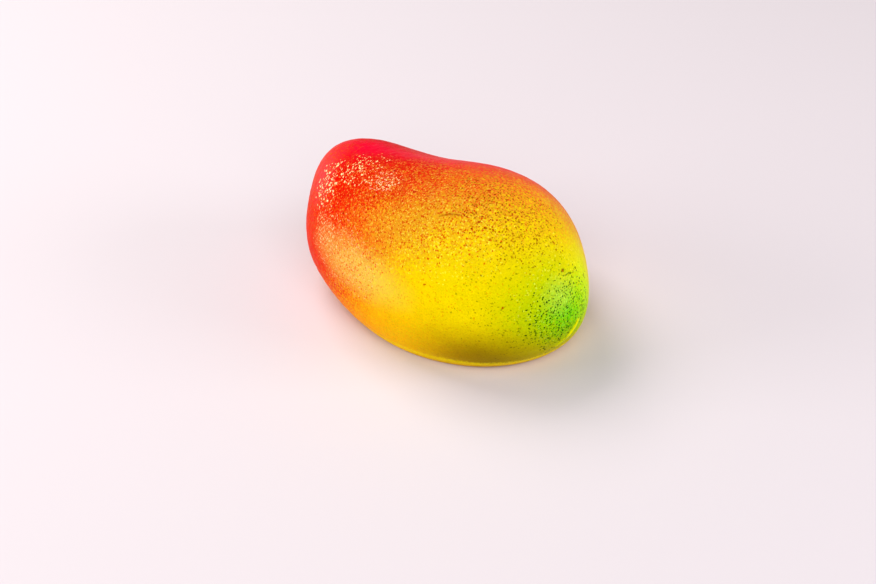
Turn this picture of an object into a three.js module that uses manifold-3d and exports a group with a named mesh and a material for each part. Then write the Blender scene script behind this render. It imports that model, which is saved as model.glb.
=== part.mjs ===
// Mango-shaped mousse dessert, one cast body standing on its own flat underside.
// Millimetres, +Z up. The origin is on the underside, below the middle of the outline.
// -X is the slim crimson end with the beak, +X the broad green end, -Y the full cheek,
// and +Y the side with the shallow hollow between the shoulder and the broad end.
import * as THREE from 'three';
import { mergeVertices } from 'three/addons/utils/BufferGeometryUtils.js';
import Module from 'manifold-3d';

// ---------------------------------------------------------------- driving dimensions
const HALF_LENGTH = 48.24; // basic egg, half-axis from beak to broad end
const HALF_WIDTH = 29.78; // basic egg, half-axis across the fruit
const HALF_THICKNESS = 29.09; // basic egg, half-axis through the two cheeks
const CHEEK_ROLL = -1.21; // degrees that the fruit is rolled about its length
const NOSE_LIFT = 4.35; // degrees that the beak end is tipped up off the table
const CENTRE_HEIGHT = 19.17; // height of the egg's centre above the underside
const UNDERCUT_DEPTH = 40; // everything below the underside is sliced off, this deep
const FACETS = 15; // each edge of the starting icosahedron is split into this many plus one
const SKIN_COLOUR = 0xf6a01c; // ripe golden orange, the mean of the airbrushed skin
const SKIN_ROUGHNESS = 0.45;

// The egg's radius is swelled and pinched by low waves over the sphere of directions,
// measured before the stretch by the three half-axes. Each entry is [order, turns, amount]:
// the amount is a share of the radius. Positive turns go with the cosine of the angle
// around Z from +X, negative ones with the sine.
const WAVES = [
  // egg and wedge: a broad +X end, a slimmer -X end
  [2, -2, -0.0259], [2, -1, -0.0176], [2, 0, -0.0176], [2, 1, 0.0203], [2, 2, -0.012],
  // bend: the beak points to +Y, with the full cheek opposite
  [3, -3, 0.0058], [3, -2, -0.0023], [3, -1, -0.0236], [3, 0, 0.0257], [3, 1, 0.0155],
  [3, 2, 0.0047], [3, 3, -0.018],
  // shoulders, and the shallow hollow on the back between beak and broad end
  [4, -4, -0.0064], [4, -3, -0.0021], [4, -2, 0.0059], [4, 0, -0.015], [4, 1, 0.0056],
  [4, 2, 0.0075], [4, 3, -0.0072],
  // fullness of the cheeks and roundness of the two ends
  [5, -5, 0.0033], [5, -4, -0.003], [5, -3, 0.0034], [5, -1, -0.0025], [5, 0, 0.0044],
  [5, 1, 0.0026], [5, 2, -0.0008], [5, 3, -0.0057], [5, 4, 0.0007], [5, 5, 0.0052],
  [6, -6, 0.0006], [6, -5, 0.0016], [6, -4, -0.0007], [6, -3, -0.0019], [6, 0, -0.0018],
  [6, 4, 0.0007], [6, 5, 0.0007], [6, 6, -0.0009],
];

// ---------------------------------------------------------------- the waves
function factorial(n) {
  let product = 1;
  for (let i = 2; i <= n; i += 1) product *= i;
  return product;
}

// Associated Legendre function of the cosine c of the polar angle, with s its sine.
function legendre(order, turns, c, s) {
  let low = 1;
  for (let i = 1; i <= turns; i += 1) low *= (2 * i - 1) * s;
  if (order === turns) return low;
  let high = c * (2 * turns + 1) * low;
  for (let l = turns + 2; l <= order; l += 1) {
    const next = ((2 * l - 1) * c * high - (l + turns - 1) * low) / (l - turns);
    low = high;
    high = next;
  }
  return high;
}

function wave(order, turns, direction) {
  const m = Math.abs(turns);
  const around = Math.atan2(direction.y, direction.x);
  const across = Math.hypot(direction.x, direction.y);
  let scale = Math.sqrt(((2 * order + 1) * factorial(order - m)) / factorial(order + m));
  if (m > 0) scale *= Math.SQRT2;
  const spin = turns < 0 ? Math.sin(m * around) : Math.cos(m * around);
  return scale * legendre(order, m, direction.z, across) * spin;
}

// A unit direction from the egg's centre gives a point of the skin, in the standing pose.
const roll = THREE.MathUtils.degToRad(CHEEK_ROLL);
const lift = THREE.MathUtils.degToRad(NOSE_LIFT);

function skinPoint(direction) {
  let swell = 1;
  for (const [order, turns, amount] of WAVES) swell += amount * wave(order, turns, direction);
  return new THREE.Vector3(
    direction.x * HALF_LENGTH * swell,
    direction.y * HALF_WIDTH * swell,
    direction.z * HALF_THICKNESS * swell,
  )
    .applyAxisAngle(new THREE.Vector3(1, 0, 0), roll)
    .applyAxisAngle(new THREE.Vector3(0, 1, 0), lift)
    .add(new THREE.Vector3(0, 0, CENTRE_HEIGHT));
}

// ---------------------------------------------------------------- the whole egg
const sphere = new THREE.IcosahedronGeometry(1, FACETS);
sphere.deleteAttribute('normal');
sphere.deleteAttribute('uv');
const egg = mergeVertices(sphere, 1e-5);
const eggPoints = egg.getAttribute('position');
const direction = new THREE.Vector3();
for (let i = 0; i < eggPoints.count; i += 1) {
  direction.fromBufferAttribute(eggPoints, i).normalize();
  const point = skinPoint(direction);
  eggPoints.setXYZ(i, point.x, point.y, point.z);
}

// ---------------------------------------------------------------- the flat underside
const wasm = await Module();
wasm.setup();

function toSolid(geometry) {
  return new wasm.Manifold(
    new wasm.Mesh({
      numProp: 3,
      vertProperties: new Float32Array(geometry.getAttribute('position').array),
      triVerts: new Uint32Array(geometry.getIndex().array),
    }),
  );
}

const slab = new THREE.BoxGeometry(6 * HALF_LENGTH, 6 * HALF_WIDTH, UNDERCUT_DEPTH);
slab.translate(0, 0, -UNDERCUT_DEPTH / 2);
slab.deleteAttribute('normal');
slab.deleteAttribute('uv');

const cut = toSolid(egg).subtract(toSolid(mergeVertices(slab, 1e-5))).getMesh();
const body = new THREE.BufferGeometry();
body.setAttribute('position', new THREE.BufferAttribute(new Float32Array(cut.vertProperties), 3));
body.setIndex(new THREE.BufferAttribute(new Uint32Array(cut.triVerts), 1));

// The origin goes below the middle of the outline.
body.computeBoundingBox();
const middle = body.boundingBox.getCenter(new THREE.Vector3());
body.translate(-middle.x, -middle.y, 0);
body.computeVertexNormals();

// ---------------------------------------------------------------- the scene graph
const skin = new THREE.MeshStandardMaterial({
  name: 'airbrushed_skin',
  color: SKIN_COLOUR,
  roughness: SKIN_ROUGHNESS,
  metalness: 0,
});

const mango = new THREE.Mesh(body, skin);
mango.name = 'mango';

const part = new THREE.Group();
part.name = 'mango_dessert';
part.add(mango);

export default part;
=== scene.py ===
import math

import bpy
import numpy as np
from mathutils import Matrix, Vector


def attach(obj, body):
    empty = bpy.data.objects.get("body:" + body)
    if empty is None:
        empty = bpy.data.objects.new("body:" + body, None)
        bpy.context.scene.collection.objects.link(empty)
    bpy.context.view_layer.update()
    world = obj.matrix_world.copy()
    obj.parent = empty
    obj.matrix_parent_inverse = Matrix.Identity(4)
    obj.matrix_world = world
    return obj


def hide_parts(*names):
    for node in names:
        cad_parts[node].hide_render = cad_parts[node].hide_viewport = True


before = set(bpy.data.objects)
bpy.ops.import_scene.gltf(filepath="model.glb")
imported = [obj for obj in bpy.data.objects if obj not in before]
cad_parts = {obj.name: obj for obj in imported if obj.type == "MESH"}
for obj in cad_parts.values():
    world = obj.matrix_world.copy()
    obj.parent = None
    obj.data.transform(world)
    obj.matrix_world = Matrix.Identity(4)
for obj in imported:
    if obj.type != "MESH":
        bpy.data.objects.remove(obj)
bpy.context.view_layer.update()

scene = bpy.context.scene
MM = 0.001

# ------------------------------------------------------------------ the body's form
# The same egg and the same low waves as the construction model, in millimetres.
HALF = np.array([48.24, 29.78, 29.09])
CHEEK_ROLL, NOSE_LIFT, CENTRE_HEIGHT = math.radians(-1.21), math.radians(4.35), 19.17
MIDDLE = np.array([-2.5237, 0.9305, 0.0])
WAVES = [
    (2, -2, -0.0259), (2, -1, -0.0176), (2, 0, -0.0176), (2, 1, 0.0203), (2, 2, -0.012),
    (3, -3, 0.0058), (3, -2, -0.0023), (3, -1, -0.0236), (3, 0, 0.0257), (3, 1, 0.0155),
    (3, 2, 0.0047), (3, 3, -0.018),
    (4, -4, -0.0064), (4, -3, -0.0021), (4, -2, 0.0059), (4, 0, -0.015), (4, 1, 0.0056),
    (4, 2, 0.0075), (4, 3, -0.0072),
    (5, -5, 0.0033), (5, -4, -0.003), (5, -3, 0.0034), (5, -1, -0.0025), (5, 0, 0.0044),
    (5, 1, 0.0026), (5, 2, -0.0008), (5, 3, -0.0057), (5, 4, 0.0007), (5, 5, 0.0052),
    (6, -6, 0.0006), (6, -5, 0.0016), (6, -4, -0.0007), (6, -3, -0.0019), (6, 0, -0.0018),
    (6, 4, 0.0007), (6, 5, 0.0007), (6, 6, -0.0009),
]
FINENESS = 96  # each edge of the starting icosahedron is split into this many
EDGE_ROUND = 0.9  # mm of height over which the lower edge turns into the flat underside


def legendre(order, turns, c, s):
    low = np.ones_like(c)
    for i in range(1, turns + 1):
        low = low * (2 * i - 1) * s
    if order == turns:
        return low
    high = c * (2 * turns + 1) * low
    for l in range(turns + 2, order + 1):
        low, high = high, ((2 * l - 1) * c * high - (l + turns - 1) * low) / (l - turns)
    return high


def skin_points(d):
    around = np.arctan2(d[:, 1], d[:, 0])
    across = np.hypot(d[:, 0], d[:, 1])
    swell = np.ones(len(d))
    for order, turns, amount in WAVES:
        m = abs(turns)
        scale = math.sqrt((2 * order + 1) * math.factorial(order - m) / math.factorial(order + m))
        if m:
            scale *= math.sqrt(2)
        spin = np.sin(m * around) if turns < 0 else np.cos(m * around)
        swell += amount * scale * legendre(order, m, d[:, 2], across) * spin
    p = d * HALF * swell[:, None]
    c, s = math.cos(CHEEK_ROLL), math.sin(CHEEK_ROLL)
    y, z = p[:, 1] * c - p[:, 2] * s, p[:, 1] * s + p[:, 2] * c
    c, s = math.cos(NOSE_LIFT), math.sin(NOSE_LIFT)
    x, z = p[:, 0] * c + z * s, -p[:, 0] * s + z * c
    return np.stack([x, y, z + CENTRE_HEIGHT], 1) - MIDDLE


def geodesic(n):
    """Unit directions and triangles of an icosahedron with each edge split n times."""
    g = (1 + 5 ** 0.5) / 2
    v = np.array([(-1, g, 0), (1, g, 0), (-1, -g, 0), (1, -g, 0), (0, -1, g), (0, 1, g),
                  (0, -1, -g), (0, 1, -g), (g, 0, -1), (g, 0, 1), (-g, 0, -1), (-g, 0, 1)], float)
    v /= np.linalg.norm(v[0])
    f = [(0, 11, 5), (0, 5, 1), (0, 1, 7), (0, 7, 10), (0, 10, 11), (1, 5, 9), (5, 11, 4),
         (11, 10, 2), (10, 7, 6), (7, 1, 8), (3, 9, 4), (3, 4, 2), (3, 2, 6), (3, 6, 8),
         (3, 8, 9), (4, 9, 5), (2, 4, 11), (6, 2, 10), (8, 6, 7), (9, 8, 1)]
    points, tris, base = [], [], 0
    row = lambda i: i * (i + 1) // 2
    ij = np.array([(i, j) for i in range(n + 1) for j in range(i + 1)])
    local = []
    for i in range(n):
        for j in range(i + 1):
            a = row(i) + j
            b, c = row(i + 1) + j, row(i + 1) + j + 1
            local.append((a, b, c))
            if j < i:
                local.append((a, c, a + 1))
    local = np.array(local)
    for a, b, c in f:
        w1 = (ij[:, 0] - ij[:, 1]) / n
        w2 = ij[:, 1] / n
        q = v[a] * (1 - w1 - w2)[:, None] + v[b] * w1[:, None] + v[c] * w2[:, None]
        points.append(q)
        tris.append(local + base)
        base += len(q)
    p = np.concatenate(points)
    t = np.concatenate(tris)
    p /= np.linalg.norm(p, axis=1, keepdims=True)
    key = np.round(p * 1e6).astype(np.int64)
    _, first, back = np.unique(key, axis=0, return_index=True, return_inverse=True)
    return p[first], back.reshape(-1)[t]


def value_noise(p, seed):
    """Smooth noise in -1..1 over 3-D points, the same on every run."""
    cell = np.floor(p).astype(np.int64)
    f = p - cell
    f = f * f * f * (f * (f * 6 - 15) + 10)

    def lattice(dx, dy, dz):
        x, y, z = cell[:, 0] + dx, cell[:, 1] + dy, cell[:, 2] + dz
        h = (x * 374761393 + y * 668265263 + z * 2147483647 + seed * 1274126177) & 0xFFFFFFFF
        h = ((h ^ (h >> 13)) * 1274126177) & 0xFFFFFFFF
        h = ((h ^ (h >> 16)) * 2246822519) & 0xFFFFFFFF
        return ((h ^ (h >> 15)) & 0xFFFF) / 32767.5 - 1

    total = 0
    for dx in (0, 1):
        for dy in (0, 1):
            for dz in (0, 1):
                w = ((f[:, 0] if dx else 1 - f[:, 0]) * (f[:, 1] if dy else 1 - f[:, 1])
                     * (f[:, 2] if dz else 1 - f[:, 2]))
                total = total + w * lattice(dx, dy, dz)
    return total


directions, triangles = geodesic(FINENESS)
raw = skin_points(directions)

# outward normals of the smooth skin
edge1 = raw[triangles[:, 1]] - raw[triangles[:, 0]]
edge2 = raw[triangles[:, 2]] - raw[triangles[:, 0]]
face = np.cross(edge1, edge2)
if (face * (raw[triangles[:, 0]] - raw.mean(0))).sum() < 0:
    triangles = triangles[:, ::-1]
    face = -face
normal = np.zeros_like(raw)
for k in range(3):
    np.add.at(normal, triangles[:, k], face)
normal /= np.linalg.norm(normal, axis=1, keepdims=True)


def from_segment(p, a, b):
    """Distance of each point from the segment a-b."""
    a, b = np.array(a, float), np.array(b, float)
    t = np.clip((p - a) @ (b - a) / ((b - a) @ (b - a)), 0, 1)
    return np.linalg.norm(p - a - t[:, None] * (b - a), axis=1)


# soft unevenness of the cast form, then the coarse part of the sprayed grain
height = raw[:, 2]
free = np.clip((height - 0.5) / 3.0, 0, 1)
red_end = np.clip((12 - raw[:, 0]) / 40, 0, 1)
swell = 0.10 * value_noise(raw / 17.0, 11) + 0.045 * value_noise(raw / 7.0, 12)
grain = (0.020 + 0.022 * red_end) * value_noise(raw / 1.9, 13) + (0.016 + 0.016 * red_end) * value_noise(raw / 1.2, 14)

# a run of thick coating low on the broad end, and a hair-fine fold on the shoulder
STREAK = [(47.2, -2.2, 11.8), (46.2, -4.8, 9.0)]
RIDGE = [(46.0, -5.4, 8.3), (44.4, -8.9, 6.9)]
FOLD = [(13.9, -18.6, 45.2), (16.2, -17.2, 45.9), (19.0, -16.3, 45.9)]
run = 0.22 * np.exp(-(from_segment(raw, *STREAK) / 0.75) ** 2) + 0.20 * np.exp(-(from_segment(raw, *RIDGE) / 0.8) ** 2)
fold = -0.07 * np.exp(-(np.minimum(from_segment(raw, FOLD[0], FOLD[1]), from_segment(raw, FOLD[1], FOLD[2])) / 0.5) ** 2)
# the beak's shoulder stands a little squarer than the low waves can follow
square = 0.75 * np.exp(-(np.linalg.norm(raw - (-37.0, 5.0, 37.0), axis=1) / 8.0) ** 2)
square += 0.80 * np.exp(-(np.linalg.norm(raw - (-30.0, 10.5, 39.5), axis=1) / 9.5) ** 2)
square -= 0.35 * np.exp(-(np.linalg.norm(raw - (-42.0, -1.0, 28.0), axis=1) / 7.0) ** 2)
square -= 0.40 * np.exp(-(np.linalg.norm(raw - (-6.0, 11.0, 45.0), axis=1) / 11.0) ** 2)
skin = raw + normal * ((swell + grain) * free + run + fold + square)[:, None]

# the lower edge rolls into the flat underside
z = skin[:, 2]
skin[:, 2] = np.where(z > EDGE_ROUND, z, np.where(z < -EDGE_ROUND, 0.0, (z + EDGE_ROUND) ** 2 / (4 * EDGE_ROUND)))

mesh = bpy.data.meshes.new("mango_skin")
mesh.from_pydata((skin * MM).tolist(), [], triangles.tolist())
mesh.validate()
mesh.shade_smooth()
mango = bpy.data.objects.new("mango_skin", mesh)
scene.collection.objects.link(mango)
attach(mango, "root")
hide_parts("mango")

# ------------------------------------------------------------------ the airbrushed skin
material = bpy.data.materials.new("airbrushed_skin")
material.use_nodes = True
tree = material.node_tree
tree.nodes.clear()


def plug(value, socket):
    if isinstance(value, bpy.types.NodeSocket):
        tree.links.new(value, socket)
    elif value is not None:
        socket.default_value = value


def number(operation, a, b=None, c=None, clamp=False):
    n = tree.nodes.new("ShaderNodeMath")
    n.operation, n.use_clamp = operation, clamp
    for value, socket in zip((a, b, c), n.inputs):
        plug(value, socket)
    return n.outputs[0]


def vector(operation, a, b=None, scale=None):
    n = tree.nodes.new("ShaderNodeVectorMath")
    n.operation = operation
    plug(a, n.inputs[0])
    plug(b, n.inputs[1])
    if scale is not None:
        plug(scale, n.inputs["Scale"])
    return n.outputs["Value"] if operation in ("LENGTH", "DOT_PRODUCT", "DISTANCE") else n.outputs["Vector"]


def ramp(value, start, end, low=0.0, high=1.0):
    """Smooth step of the value from start to end, giving low to high."""
    n = tree.nodes.new("ShaderNodeMapRange")
    n.interpolation_type = "SMOOTHSTEP"
    for v, socket in zip((value, start, end, low, high), n.inputs):
        plug(v, socket)
    return n.outputs[0]


def noise(where, scale, detail=1.0, roughness=0.5, colour=False):
    n = tree.nodes.new("ShaderNodeTexNoise")
    plug(where, n.inputs["Vector"])
    n.inputs["Scale"].default_value = scale
    n.inputs["Detail"].default_value = detail
    n.inputs["Roughness"].default_value = roughness
    return n.outputs["Color"] if colour else n.outputs[0]


def mix(factor, a, b, blend="MIX"):
    n = tree.nodes.new("ShaderNodeMix")
    n.data_type, n.blend_type = "RGBA", blend
    plug(factor, n.inputs[0])
    for value, socket in ((a, n.inputs[6]), (b, n.inputs[7])):
        plug((*value, 1) if isinstance(value, tuple) else value, socket)
    return n.outputs[2]


def zone(where, centre, radii, inner):
    """1 inside an ellipsoid's core, fading smoothly to 0 at its surface."""
    offset = vector("SUBTRACT", where, centre)
    stretched = vector("MULTIPLY", offset, tuple(1 / r for r in radii))
    return ramp(vector("LENGTH", stretched), 1.0, inner)


def line(where, a, b, core, edge):
    """1 along the segment a-b, fading to 0 at the edge distance."""
    a, b = Vector(a), Vector(b)
    offset = vector("SUBTRACT", where, tuple(a))
    along = number("MULTIPLY", vector("DOT_PRODUCT", offset, tuple(b - a)), 1 / (b - a).length_squared, clamp=True)
    foot = vector("SCALE", tuple(b - a), scale=along)
    return ramp(vector("LENGTH", vector("SUBTRACT", offset, foot)), edge, core)


coordinates = tree.nodes.new("ShaderNodeTexCoord")
mm = vector("SCALE", coordinates.outputs["Object"], scale=1000.0)
height_mm = tree.nodes.new("ShaderNodeSeparateXYZ")
plug(mm, height_mm.inputs[0])
height_mm = height_mm.outputs["Z"]

# the spray gun's hand movement: every pass wanders a little
wander = vector("SUBTRACT", noise(mm, 0.11, 2.0, colour=True), (0.5, 0.5, 0.5))
sprayed = vector("ADD", mm, vector("SCALE", wander, scale=3.5))


# no droplet is quite round
ragged = vector("ADD", mm, vector("SCALE", vector("SUBTRACT", noise(mm, 1.9, 1.0, colour=True), (0.5, 0.5, 0.5)), scale=0.9))


def cells(seed, cell, stretch=(1, 1, 1), even=0.0):
    """Distance from scattered points, in cells, and two chance numbers for each point."""
    where = vector("MULTIPLY", vector("ADD", ragged, tuple(float(v) for v in seed)), tuple(v / cell for v in stretch))
    n = tree.nodes.new("ShaderNodeTexVoronoi")
    n.voronoi_dimensions, n.feature = "3D", "F1"
    plug(where, n.inputs["Vector"])
    n.inputs["Scale"].default_value = 1.0
    n.inputs["Randomness"].default_value = 1.0 - even
    chance = tree.nodes.new("ShaderNodeSeparateColor")
    plug(n.outputs["Color"], chance.inputs[0])
    return n.outputs["Distance"], chance.outputs[0], chance.outputs[1]


# droplets: where a pass thins out it breaks up into dots
dots = number("SUBTRACT", 0.50, cells((0.3, 0.7, 0.1), 0.66, even=0.15)[0])
mist = number("SUBTRACT", noise(mm, 2.1, 1.5, 0.6), 0.5)
droplets = number("ADD", number("MULTIPLY", dots, 0.55), number("MULTIPLY", mist, 0.65))

BASE_COAT = (0.88, 0.70, 0.00)
# name, centre, radii in mm, full inside this share of the radius, colour, cover, break-up
PASSES = [
    ("orange_haze", (-34, -7, 35), (81, 31, 37), 0.70, (0.66, 0.27, 0.01), 0.92, 1.6),
    ("blush_back", (-5, 27, 45), (78, 50, 66), 0.26, (0.84, 0.005, 0.02), 0.98, 1.5),
    ("red_end", (-39, -2, 34), (45, 118, 54), 0.35, (0.62, 0.00, 0.00), 0.90, 1.7),
    ("crimson_cap", (-28, 5, 49), (48, 21, 10), 0.38, (0.84, 0.00, 0.03), 1.00, 1.6),
    ("crimson_tip", (-31, 2, 50), (26, 18, 14), 0.40, (0.82, 0.00, 0.03), 1.00, 1.5),
    ("lemon_end", (50, -17, 21), (23, 26, 30), 0.16, (0.41, 0.58, 0.00), 1.00, 0.8),
    ("green_tip", (50, -4, 14), (9, 39, 22), 0.09, (0.00, 0.62, 0.00), 0.85, 1.2),
    # painted shade: the olive band darkens the low front, standing for shade under the belly
    ("olive_painted_shade", (30, -27, 7), (29, 68, 17), 0.04, (0.34, 0.23, 0.00), 1.00, 0.3),
    # painted highlights: the cream and mint patches are lighter soft spots standing for the lamps' highlights
    ("cream_painted_highlight", (-10, -27, 24), (26, 39, 11), 0.13, (0.76, 0.86, 0.13), 0.64, 0.5),
    ("mint_painted_highlight", (48, -9, 24.5), (10, 9, 9), 0.10, (0.46, 0.74, 0.05), 0.60, 0.6),
    ("brown_mist", (-8, -9, 41), (38, 14, 15), 0.42, (0.62, 0.00, 0.00), 0.79, 1.5),
    ("amber_foot", (-12, -21, 10), (48, 33, 42), 0.00, (0.95, 0.00, 0.00), 0.51, 0.5),
    ("lime_edge", (49, 6, 22), (16, 15, 21), 0.16, (0.68, 0.99, 0.00), 0.45, 0.5),
    # partly painted reflection: this rose pass lightens the red of the left flank, partly as rose paint and partly
    # standing for a pinkish reflection along the left rim
    ("rose_and_painted_rim_reflection", (-36, -12, 36), (11, 37, 9), 0.00, (0.80, 0.05, 0.06), 0.75, 1.6),
]
colour = BASE_COAT
for name, centre, radii, inner, tint, cover, breakup in PASSES:
    mask = number("MULTIPLY", zone(sprayed, centre, radii, inner), cover)
    thin = number("MULTIPLY", mask, number("SUBTRACT", 1.0, mask))
    dotted = number("MULTIPLY_ADD", number("MULTIPLY", droplets, thin), 4 * breakup, mask, clamp=True)
    colour = mix(dotted, colour, tint)

# a thin bright yellow line just above the underside, partly the base coat left where the coat ends and partly painted
# light reflected up from below
foot_line_and_painted_reflection = ramp(number("ADD", height_mm, number("MULTIPLY", droplets, 2.2)), 4.7, 3.2, 0.0, 0.85)
foot_line_and_painted_reflection = number("MULTIPLY", foot_line_and_painted_reflection, zone(sprayed, (30, -22, 3), (52, 40, 20), 0.3))
# painted shade: the line's tint darkens to amber at the very bottom, next to the floor
foot_tint_painted_shade = mix(ramp(height_mm, 3.6, 0.8), (0.98, 0.78, 0.0), (0.88, 0.50, 0.0))
colour = mix(foot_line_and_painted_reflection, colour, foot_tint_painted_shade)

# separate specks, each darkening or lightening what it lands on: most are thrown by the gun, while the first row and
# the last five rows are painted glints, cream specks standing for light caught on the grain
# name, seed, cell in mm, stretch, evenness, radius in cells from-to, share of cells, zone, tint, blend, cover
SPECKS = [
    # painted glints: the light row adds lighter specks standing for light caught on the grain of the upper front
    ("light", (7, 5, 19), 0.68, (1, 1, 1), 0.20, (0.24, 0.42), 1.00, (-2, -18, 44), (46, 22, 24), 0.35, (0.10, 0.24, 0.04), "ADD", 0.90),
    ("lime", (9, 25, 3), 0.72, (1, 1, 1), 0.20, (0.18, 0.36), 0.85, (48, -8, 26), (16, 22, 20), 0.45, (0.15, 0.17, 0.05), "ADD", 0.75),
    ("rust", (3, 1, 5), 0.72, (1, 1, 1), 0.25, (0.26, 0.47), 1.00, (3, -15, 45), (38, 20, 22), 0.40, (0.82, 0.16, 0.08), "MULTIPLY", 0.92),
    ("coral", (13, 6, 2), 0.74, (1, 1, 1), 0.15, (0.24, 0.45), 1.00, (-19, -23, 27), (26, 16, 22), 0.45, (0.96, 0.22, 0.15), "MULTIPLY", 0.90),
    ("umber", (31, 7, 9), 0.70, (1, 1, 1), 0.25, (0.25, 0.46), 1.00, (31, -7, 44), (23, 17, 16), 0.35, (0.44, 0.18, 0.09), "MULTIPLY", 0.86),
    ("deep_green", (5, 17, 2), 0.76, (1, 1, 1), 0.30, (0.27, 0.47), 1.00, (48.5, -9, 18), (14, 18, 17), 0.40, (0.03, 0.12, 0.15), "MULTIPLY", 0.94),
    ("olive", (11, 3, 23), 0.85, (1, 1, 1), 0.10, (0.16, 0.36), 0.90, (41, -16, 26), (26, 22, 28), 0.45, (0.42, 0.42, 0.20), "MULTIPLY", 0.80),
    ("amber", (14, 21, 4), 0.80, (1, 1, 1), 0.15, (0.16, 0.36), 0.80, (4, -24, 34), (42, 24, 24), 0.50, (0.90, 0.50, 0.20), "MULTIPLY", 0.75),
    ("big", (2, 29, 13), 4.20, (1, 1, 1), 0.00, (0.08, 0.13), 0.60, (15, -14, 40), (48, 24, 30), 0.50, (0.60, 0.10, 0.10), "MULTIPLY", 0.90),
    ("bran", (21, 4, 15), 0.78, (1, 1, 1), 0.15, (0.22, 0.42), 0.90, (16, -28, 13), (44, 16, 13), 0.40, (0.86, 0.70, 0.20), "MULTIPLY", 0.60),
    # painted glints: cream specks standing for light caught on the grain where the soft highlight lies low on the
    # front
    ("pale_painted_glints", (16, 2, 27), 0.64, (1, 1, 1), 0.15, (0.22, 0.42), 0.90, (-15, -25, 25), (20, 14, 13), 0.35, (1.0, 0.78, 0.34), "MIX", 0.34),
    # painted glints in the red end: cream specks standing for light caught on the grain
    ("flank", (8, 3, 1), 0.70, (1.3, 0.85, 0.85), 0.10, (0.22, 0.46), 0.75, (-30, -10.5, 36), (7.5, 9, 11), 0.35, (1.0, 0.88, 0.44), "MIX", 1.0),
    ("low_flank", (18, 13, 7), 0.62, (1.2, 0.9, 0.9), 0.15, (0.22, 0.44), 0.85, (-25, -20, 27), (10, 10, 11), 0.30, (1.0, 0.68, 0.28), "MIX", 0.75),
    ("shoulder", (4, 9, 6), 0.68, (1.3, 0.85, 0.85), 0.10, (0.22, 0.46), 0.62, (-20.5, -8, 43.2), (10, 8, 5.8), 0.25, (1.0, 0.84, 0.38), "MIX", 1.0),
    ("saddle", (6, 2, 8), 0.62, (0.9, 1.2, 1.0), 0.15, (0.24, 0.46), 0.95, (-9.5, -12.5, 46), (7.5, 5.5, 5.5), 0.40, (1.0, 0.70, 0.36), "MIX", 0.90),
]
for name, seed, cell, stretch, even, radius, share, centre, radii, inner, tint, blend, cover in SPECKS:
    distance, chance, size = cells(seed, cell, stretch, even)
    spot = ramp(number("DIVIDE", distance, ramp(size, 0.0, 1.0, *radius)), 1.2, 0.6)
    chosen = number("LESS_THAN", chance, number("MULTIPLY", zone(sprayed, centre, radii, inner), share))
    colour = mix(number("MULTIPLY", number("MULTIPLY", spot, chosen), cover), colour, tint, blend)

# a fine unevenness of tone over the whole skin
tone = number("MULTIPLY_ADD", mist, 0.45, 1.0)
tone = number("MULTIPLY", tone, number("MULTIPLY_ADD", number("SUBTRACT", noise(mm, 0.28, 3.0, 0.6), 0.5), 0.22, 1.0))
colour = vector("SCALE", colour, scale=tone)

# the run of yellow coating at the beak's corner and the ridge below it, each partly real yellow and partly a painted
# highlight along the ridge, and the painted shadow in the fold
colour = mix(number("MULTIPLY", line(ragged, *STREAK, 0.2, 1.6), 0.92), colour, (0.86, 0.84, 0.0))
colour = mix(number("MULTIPLY", line(ragged, *RIDGE, 0.2, 1.5), 0.60), colour, (0.70, 0.72, 0.0))
for a, b in zip(FOLD, FOLD[1:]):
    colour = mix(number("MULTIPLY", line(mm, a, b, 0.1, 0.55), number("MULTIPLY_ADD", droplets, 1.5, 0.6, clamp=True)), colour, (0.35, 0.08, 0.0))

out = tree.nodes.new("ShaderNodeOutputMaterial")
shader = tree.nodes.new("ShaderNodeBsdfPrincipled")
tree.links.new(shader.outputs[0], out.inputs["Surface"])
plug(colour, shader.inputs["Base Color"])
plug(ramp(noise(mm, 0.5, 3.0, 0.6), 0.3, 0.7, 0.34, 0.46), shader.inputs["Roughness"])
shader.inputs["Specular IOR Level"].default_value = 0.012
shader.inputs["Specular Tint"].default_value = (1.0, 0.80, 0.30, 1)

# fine orange-peel grain
roughened = zone(sprayed, (-30, -2, 40), (60, 44, 40), 0.3)
peel = number("MULTIPLY", noise(mm, 1.25, 2.0, 0.55), number("MULTIPLY_ADD", roughened, 0.7, 0.5))
bump = tree.nodes.new("ShaderNodeBump")
bump.inputs["Strength"].default_value = 1.0
bump.inputs["Distance"].default_value = 0.00012
plug(peel, bump.inputs["Height"])
plug(bump.outputs[0], shader.inputs["Normal"])
mesh.materials.append(material)

# ------------------------------------------------------------------ floor, light, camera
CAMERA_AZIMUTH, CAMERA_ELEVATION = math.radians(37.01), math.radians(36.3)


def around(heading, elevation, distance):
    """A point seen from the object: heading in degrees from the camera's side, + to its right."""
    a = CAMERA_AZIMUTH + math.radians(heading)
    e = math.radians(elevation)
    return Vector((math.sin(a) * math.cos(e), -math.cos(a) * math.cos(e), math.sin(e))) * distance


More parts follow.
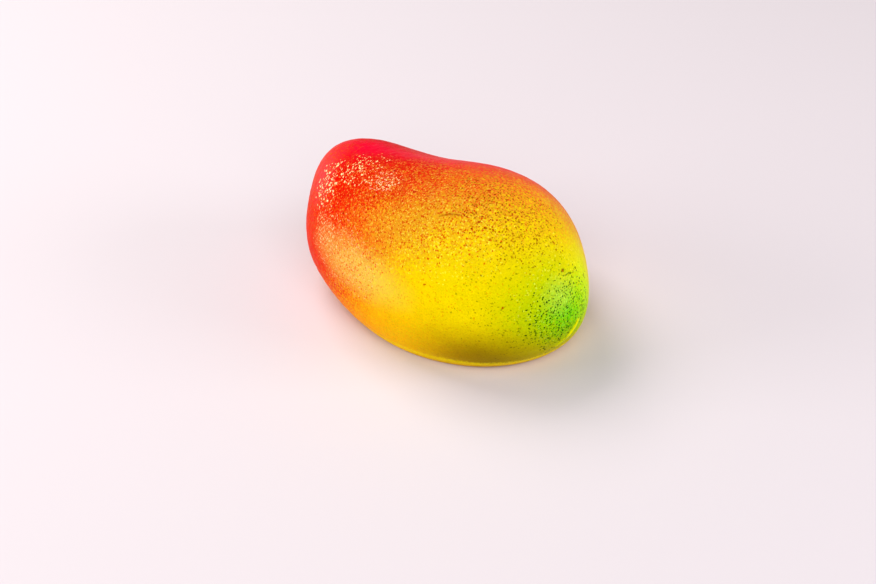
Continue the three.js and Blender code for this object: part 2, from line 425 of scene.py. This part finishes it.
def softbox(name, heading, elevation, distance, width, height, power, colour=(1, 1, 1)):
    light = bpy.data.lights.new(name, "AREA")
    light.shape, light.size, light.size_y = "RECTANGLE", width, height
    light.energy, light.color = power, colour
    obj = bpy.data.objects.new(name, light)
    obj.location = around(heading, elevation, distance) + Vector((0, 0, 0.02))
    obj.rotation_euler = (Vector((0, 0, 0.02)) - obj.location).to_track_quat("-Z", "Y").to_euler()
    scene.collection.objects.link(obj)


softbox("key", -140, 52, 0.75, 0.50, 0.40, 4.0, (1.0, 0.97, 0.93))
softbox("left", -88, 18, 0.70, 0.40, 0.28, 2.4, (1.0, 0.98, 0.95))
softbox("right", 72, 20, 0.70, 0.35, 0.28, 2.1, (0.96, 0.98, 1.0))
softbox("front", 5, 42, 0.90, 0.75, 0.55, 4.3)

world = bpy.data.worlds.new("studio")
world.use_nodes = True
background = world.node_tree.nodes["Background"]
background.inputs[0].default_value = (1.0, 0.985, 0.99, 1)
background.inputs[1].default_value = 0.22
scene.world = world

floor_mesh = bpy.data.meshes.new("floor")
floor_mesh.from_pydata([(-3, -3, 0), (3, -3, 0), (3, 3, 0), (-3, 3, 0)], [], [(0, 1, 2, 3)])
floor = bpy.data.objects.new("floor", floor_mesh)
floor.location.z = -0.00002
scene.collection.objects.link(floor)
paper = bpy.data.materials.new("floor")
paper.use_nodes = True
paper.node_tree.nodes["Principled BSDF"].inputs["Base Color"].default_value = (0.71, 0.645, 0.685, 1)
paper.node_tree.nodes["Principled BSDF"].inputs["Roughness"].default_value = 0.7
floor_mesh.materials.append(paper)

camera_data = bpy.data.cameras.new("camera")
camera_data.lens = 98.96
camera_data.sensor_width = 36.0
camera_data.sensor_fit = "HORIZONTAL"
camera_data.clip_start, camera_data.clip_end = 0.05, 10
camera = bpy.data.objects.new("camera", camera_data)
right = Vector((0.81933, 0.57108, -0.0506))
up = Vector((-0.30552, 0.5096, 0.80434))
back = Vector((0.48513, -0.64356, 0.59201))
camera.matrix_world = Matrix.Translation(Vector((0.335923, -0.448688, 0.414409))) @ Matrix(
    (right, up, back)).transposed().to_4x4()
scene.collection.objects.link(camera)
scene.camera = camera
scene.view_settings.view_transform = "Standard"
scene.view_settings.look = "None"
